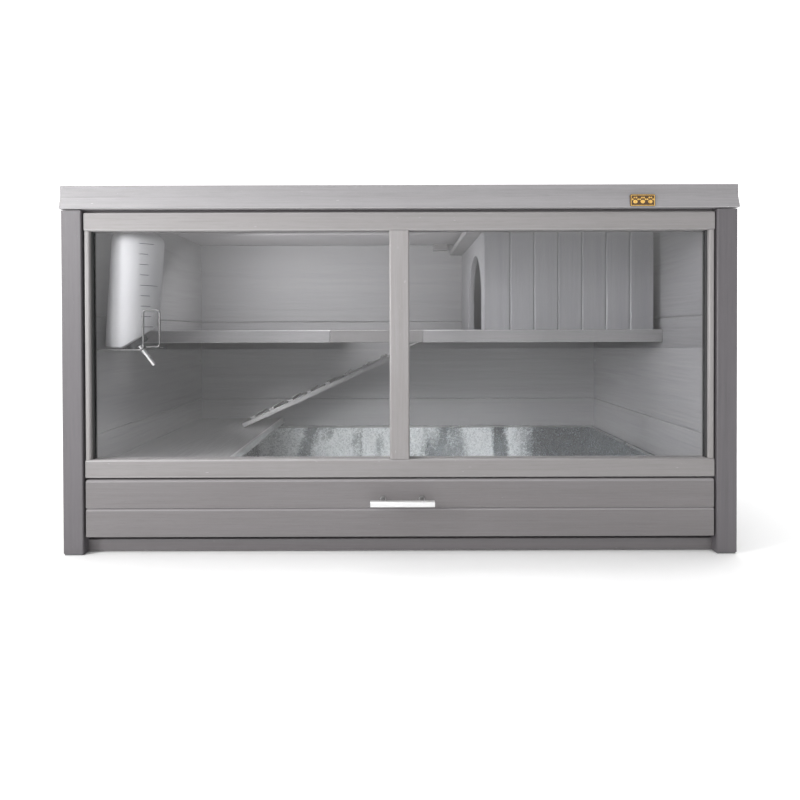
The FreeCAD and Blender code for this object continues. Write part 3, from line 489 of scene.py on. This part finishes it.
def bottle_scale():
    """Printed level marks without numbers, lying on the bottle's skin."""
    skin = nodes["bottle_body"]
    bm = bmesh.new()
    for count in range(SCALE_MARKS):
        height = SCALE_FOOT + (SCALE_TOP - SCALE_FOOT) * count / (SCALE_MARKS - 1)
        wide = SCALE_LONG if count % LONG_EVERY == 0 else SCALE_SHORT
        rows = []
        for step in range(MARK_STEPS + 1):
            x = SCALE_LEFT + wide * step / MARK_STEPS
            for z in (height - MARK_TALL / 2, height + MARK_TALL / 2):
                hit, at, normal, _ = skin.ray_cast(Vector((x, -1.0, z)), Vector((0, 1, 0)))
                if hit:
                    rows.append(bm.verts.new(at + normal * MARK_LIFT))
        for first in range(0, len(rows) - 3, 2):
            bm.faces.new((rows[first], rows[first + 2], rows[first + 3], rows[first + 1]))
    made = piece("bottle_scale", bm, "print", "cabinet")
    thick = made.modifiers.new("ink", "SOLIDIFY")
    thick.thickness = MARK_LIFT


BALL_SHARE = 0.78         # of the tube's outer radius
BALL_SET_BACK = 0.55      # from the tube's tip, in the same measure
TUBE_END = 0.3            # share of the tube's height whose corners give each end's middle
TIP_DEEP = 0.0005


def tube_ball():
    """The steel ball that closes the end of the drinking tube."""
    verts = [v.co for v in nodes["drinking_tube"].data.vertices]
    lowest, highest = min(v.z for v in verts), max(v.z for v in verts)
    cut = (highest - lowest) * TUBE_END
    foot = [v for v in verts if v.z < lowest + cut]
    head = [v for v in verts if v.z > highest - cut]
    axis = (sum(foot, Vector()) / len(foot) - sum(head, Vector()) / len(head)).normalized()
    tip = max(v.dot(axis) for v in verts)
    ring = [v for v in verts if v.dot(axis) > tip - TIP_DEEP]
    middle = sum(ring, Vector()) / len(ring)
    radius = max((v - middle).length for v in ring)
    bm = bmesh.new()
    bmesh.ops.create_uvsphere(bm, u_segments=24, v_segments=16, radius=radius * BALL_SHARE,
                              matrix=Matrix.Translation(middle - axis * radius * BALL_SET_BACK))
    for face in bm.faces:
        face.smooth = True
    piece("tube_ball", bm, "ball", "cabinet")


HEM_TALL = 0.004
HEM_THICK = 0.0012
PAN_FLANGE = 0.006
PAN_SKIN = 0.0012


def pan_hem():
    """Folded edge around the inside of the litter pan's rim."""
    low, high = (Vector(corner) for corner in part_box("litter_pan"))
    low += Vector((PAN_FLANGE + PAN_SKIN, PAN_SKIN, 0))
    high -= Vector((PAN_FLANGE + PAN_SKIN, PAN_FLANGE + PAN_SKIN, 0))
    foot = high.z - HEM_TALL
    bm = bmesh.new()
    for x, inner in ((low.x, low.x + HEM_THICK), (high.x, high.x - HEM_THICK)):
        slab(bm, (min(x, inner), low.y, foot), (max(x, inner), high.y, high.z))
    for y, inner in ((low.y, low.y + HEM_THICK), (high.y, high.y - HEM_THICK)):
        slab(bm, (low.x, min(y, inner), foot), (high.x, max(y, inner), high.z))
    piece("pan_hem", bm, "zinc", "drawer", soften=0.0003)


RIM_WIDE = 0.0009
RIM_INSET = 0.0008
RIM_SUNK, RIM_PROUD = 0.0003, 0.0004
PAW_WIDE = 0.0115
PAW_THICK = 0.0009
PAD_RADIUS, TOE_RADIUS = 0.28, 0.13  # these and the places below are shares of the print's width
PAD_DROP = 0.2
PAD_STRETCH = 1.2
TOES = ((-0.38, 0.12), (-0.14, 0.36), (0.14, 0.36), (0.38, 0.12))
PAWS = 3
PAW_PITCH = 0.3           # share of the badge's width


def badge_marks():
    """A gilt rim and a row of plain paw prints on the badge."""
    low, high = (Vector(corner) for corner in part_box("lid_badge"))
    front = low.y
    sunk, proud = front + RIM_SUNK, front - RIM_PROUD
    rim = bmesh.new()
    left, right, foot, top = low.x + RIM_INSET, high.x - RIM_INSET, low.z + RIM_INSET, high.z - RIM_INSET
    for z in (foot, top - RIM_WIDE):
        slab(rim, (left, proud, z), (right, sunk, z + RIM_WIDE))
    for x in (left, right - RIM_WIDE):
        slab(rim, (x, proud, foot), (x + RIM_WIDE, sunk, top))
    piece("badge_rim", rim, "gold", "lid", soften=0.0001)
    marks = bmesh.new()
    middle = (low + high) / 2
    for count in range(PAWS):
        x = middle.x + (count - (PAWS - 1) / 2) * (high.x - low.x) * PAW_PITCH
        at = Vector((x, front, middle.z))
        pad = at - Vector((0, 0, PAW_WIDE * PAD_DROP))
        dot(marks, pad, PAW_WIDE * PAD_RADIUS, (0, -1, 0), PAW_THICK, stretch=PAD_STRETCH)
        for across, up in TOES:
            toe = at + Vector((across * PAW_WIDE, 0, up * PAW_WIDE))
            dot(marks, toe, PAW_WIDE * TOE_RADIUS, (0, -1, 0), PAW_THICK)
    piece("badge_paws", marks, "gold", "lid")


TRIM_WIDE = 0.005
TRIM_FOOT = 0.0025        # the flange under the deck
TRIM_THICK = 0.0007
TRIM_INSET = 0.002        # short of the deck's ends


def deck_trim():
    """Metal angle that guards the free edge of the deck."""
    low, high = (Vector(corner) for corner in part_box("deck_board"))
    near, far = low.y + TRIM_INSET, high.y - TRIM_INSET
    outer = high.x + TRIM_THICK
    bm = bmesh.new()
    slab(bm, (high.x - TRIM_WIDE, near, high.z), (outer, far, high.z + TRIM_THICK))
    slab(bm, (high.x, near, low.z), (outer, far, high.z))
    slab(bm, (high.x, near, low.z), (high.x + TRIM_FOOT, far, low.z + TRIM_THICK))
    piece("deck_trim", bm, "trim", "cabinet", soften=0.0002)


def fine_pieces():
    """Everything that is added to the CAD nodes, each piece on the body that it moves with."""
    painted_screw_slots("corner_screws", 0, lambda low, high: -low.x, "cabinet")
    painted_screw_slots("lid_hinge_body_leaves", 1, 1, "cabinet")
    painted_screw_slots("lid_hinge_lid_leaves", 1, 1, "lid")
    painted_screw_slots("ramp_hinge_shelf_leaf", 2, -1, "cabinet")
    bottle_scale()
    tube_ball()
    badge_marks()
    deck_trim()
    pan_hem()


# ---------------------------------------------------------------- stage

def paper(name, level):
    """Matt photographic paper with a faint tooth."""
    g = Graph(name)
    tooth = g.noise(g.place(), scale=400.0, detail=3.0)
    tone = g.mix(g.span(tooth, 0.3, 0.7), grey(level * 0.985), grey(level))
    g.shader(Base_Color=tone, Roughness=0.9, Normal=g.bump(tooth, 0.0003, 0.2))
    return g.material


FLOOR_HALF = 12.0


def floor():
    """A sheet of paper under the object, which isn't part of it."""
    size = FLOOR_HALF
    mesh = bpy.data.meshes.new("studio_floor")
    corners = [(-size, -size, 0), (size, -size, 0), (size, size, 0), (-size, size, 0)]
    mesh.from_pydata([Vector(c) for c in corners], [], [(0, 1, 2, 3)])
    thing = bpy.data.objects.new("studio_floor", mesh)
    mesh.materials.append(paper("studio_paper", 0.98))
    bpy.context.scene.collection.objects.link(thing)


def soft_box(name, at, aim, size, power, spread=180, mirrored=True):
    """A rectangular lamp, unseen by the camera; mirrored says if shiny things show it."""
    lamp = bpy.data.lights.new(name, "AREA")
    lamp.shape = "RECTANGLE"
    lamp.size, lamp.size_y = size
    lamp.energy = power
    lamp.spread = math.radians(spread)
    thing = bpy.data.objects.new(name, lamp)
    thing.location = at
    thing.rotation_euler = (Vector(aim) - Vector(at)).to_track_quat("-Z", "Y").to_euler()
    thing.visible_camera = False
    thing.visible_glossy = mirrored
    bpy.context.scene.collection.objects.link(thing)


GLOW = 1.5                # extra brightness of the studio's front wall, just above eye level
GLOW_FOOT, GLOW_TOP, GLOW_END = -0.03, 0.2, 0.5
FRONT_WALL = 0.66
BACK_WALL = 1.4           # bright behind the object, so that the paper and the ground stay white
CEILING = 0.7             # extra brightness overhead, caught by upward edges
FLAG = 0.75               # how much the dark screen on the right takes away


def studio():
    """The room's light and the lamps; the ground behind the object is white from every side."""
    g = Graph("studio", world=True)
    towards = g.node("SeparateXYZ")
    g.put(towards.inputs[0], g.node("TexCoord").outputs["Generated"])
    x, y, z = towards.outputs
    glow = g.math("MULTIPLY", g.span(z, GLOW_FOOT, GLOW_TOP), g.span(z, GLOW_END, GLOW_TOP))
    glow = g.math("MULTIPLY", glow, g.span(y, -0.2, -0.8, 0.0, GLOW))
    flag = g.math("MULTIPLY", g.span(x, 0.25, 0.6), g.span(y, 0.2, -0.1, 0.0, FLAG))
    walls = g.math("ADD", g.span(y, -0.1, 0.3, FRONT_WALL, BACK_WALL), g.span(z, 0.5, 0.85, 0.0, CEILING))
    level = g.math("SUBTRACT", g.math("ADD", glow, walls), flag)
    back = g.node("Background")
    g.put(back.inputs["Color"], (1.0, 1.0, 1.0, 1))
    seen = g.node("LightPath").outputs["Is Camera Ray"]
    g.put(back.inputs["Strength"], g.math("MAXIMUM", level, seen))
    g.put(g.output.inputs["Surface"], back.outputs["Background"])
    bpy.context.scene.world = g.material

    front, lid_edge, pan = (0.1, -0.2, 0.4), (-0.25, -0.3, 0.56), (0.10, 0.27, 0.03)
    soft_box("side_left", (-1.8, -1.2, 0.75), front, (0.35, 0.9), 25)
    soft_box("upper_left", (-1.5, -2.2, 1.30), lid_edge, (0.7, 0.4), 0.6, spread=28)
    soft_box("under_lid", (-0.18, -0.05, 0.54), (-0.12, 0.1, 0.3), (0.48, 0.12), 2.1, mirrored=False)
    soft_box("pan_light", (-0.08, -0.2, 0.28), pan, (0.75, 0.03), 0.42, spread=44, mirrored=False)
    scene = bpy.context.scene
    scene.view_settings.view_transform = "Standard"
    scene.view_settings.look = "None"


CAMERA_BACK = 0.92        # camera to the front of the corner posts
CAMERA_HIGH = 0.361
CAMERA_X = -0.007
CAMERA_DIP = 0.5          # degrees below level
CAMERA_ROLL = -0.16       # degrees
LENS = 25.57
SHIFT = (0.006, -0.078)


def camera():
    """The camera stands in front of the object, near the middle of the window."""
    data = bpy.data.cameras.new("camera")
    data.lens = LENS
    data.shift_x, data.shift_y = SHIFT
    data.clip_start = 0.01
    thing = bpy.data.objects.new("camera", data)
    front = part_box("corner_post_front_left")[0].y
    thing.location = (CAMERA_X, front - CAMERA_BACK, CAMERA_HIGH)
    level = Matrix.Rotation(math.radians(90 - CAMERA_DIP), 3, "X")
    roll = Matrix.Rotation(math.radians(CAMERA_ROLL), 3, "Z")
    thing.rotation_euler = (level @ roll).to_euler()
    bpy.context.scene.collection.objects.link(thing)
    bpy.context.scene.camera = thing


dress_cad()
fine_pieces()
floor()
studio()
camera()
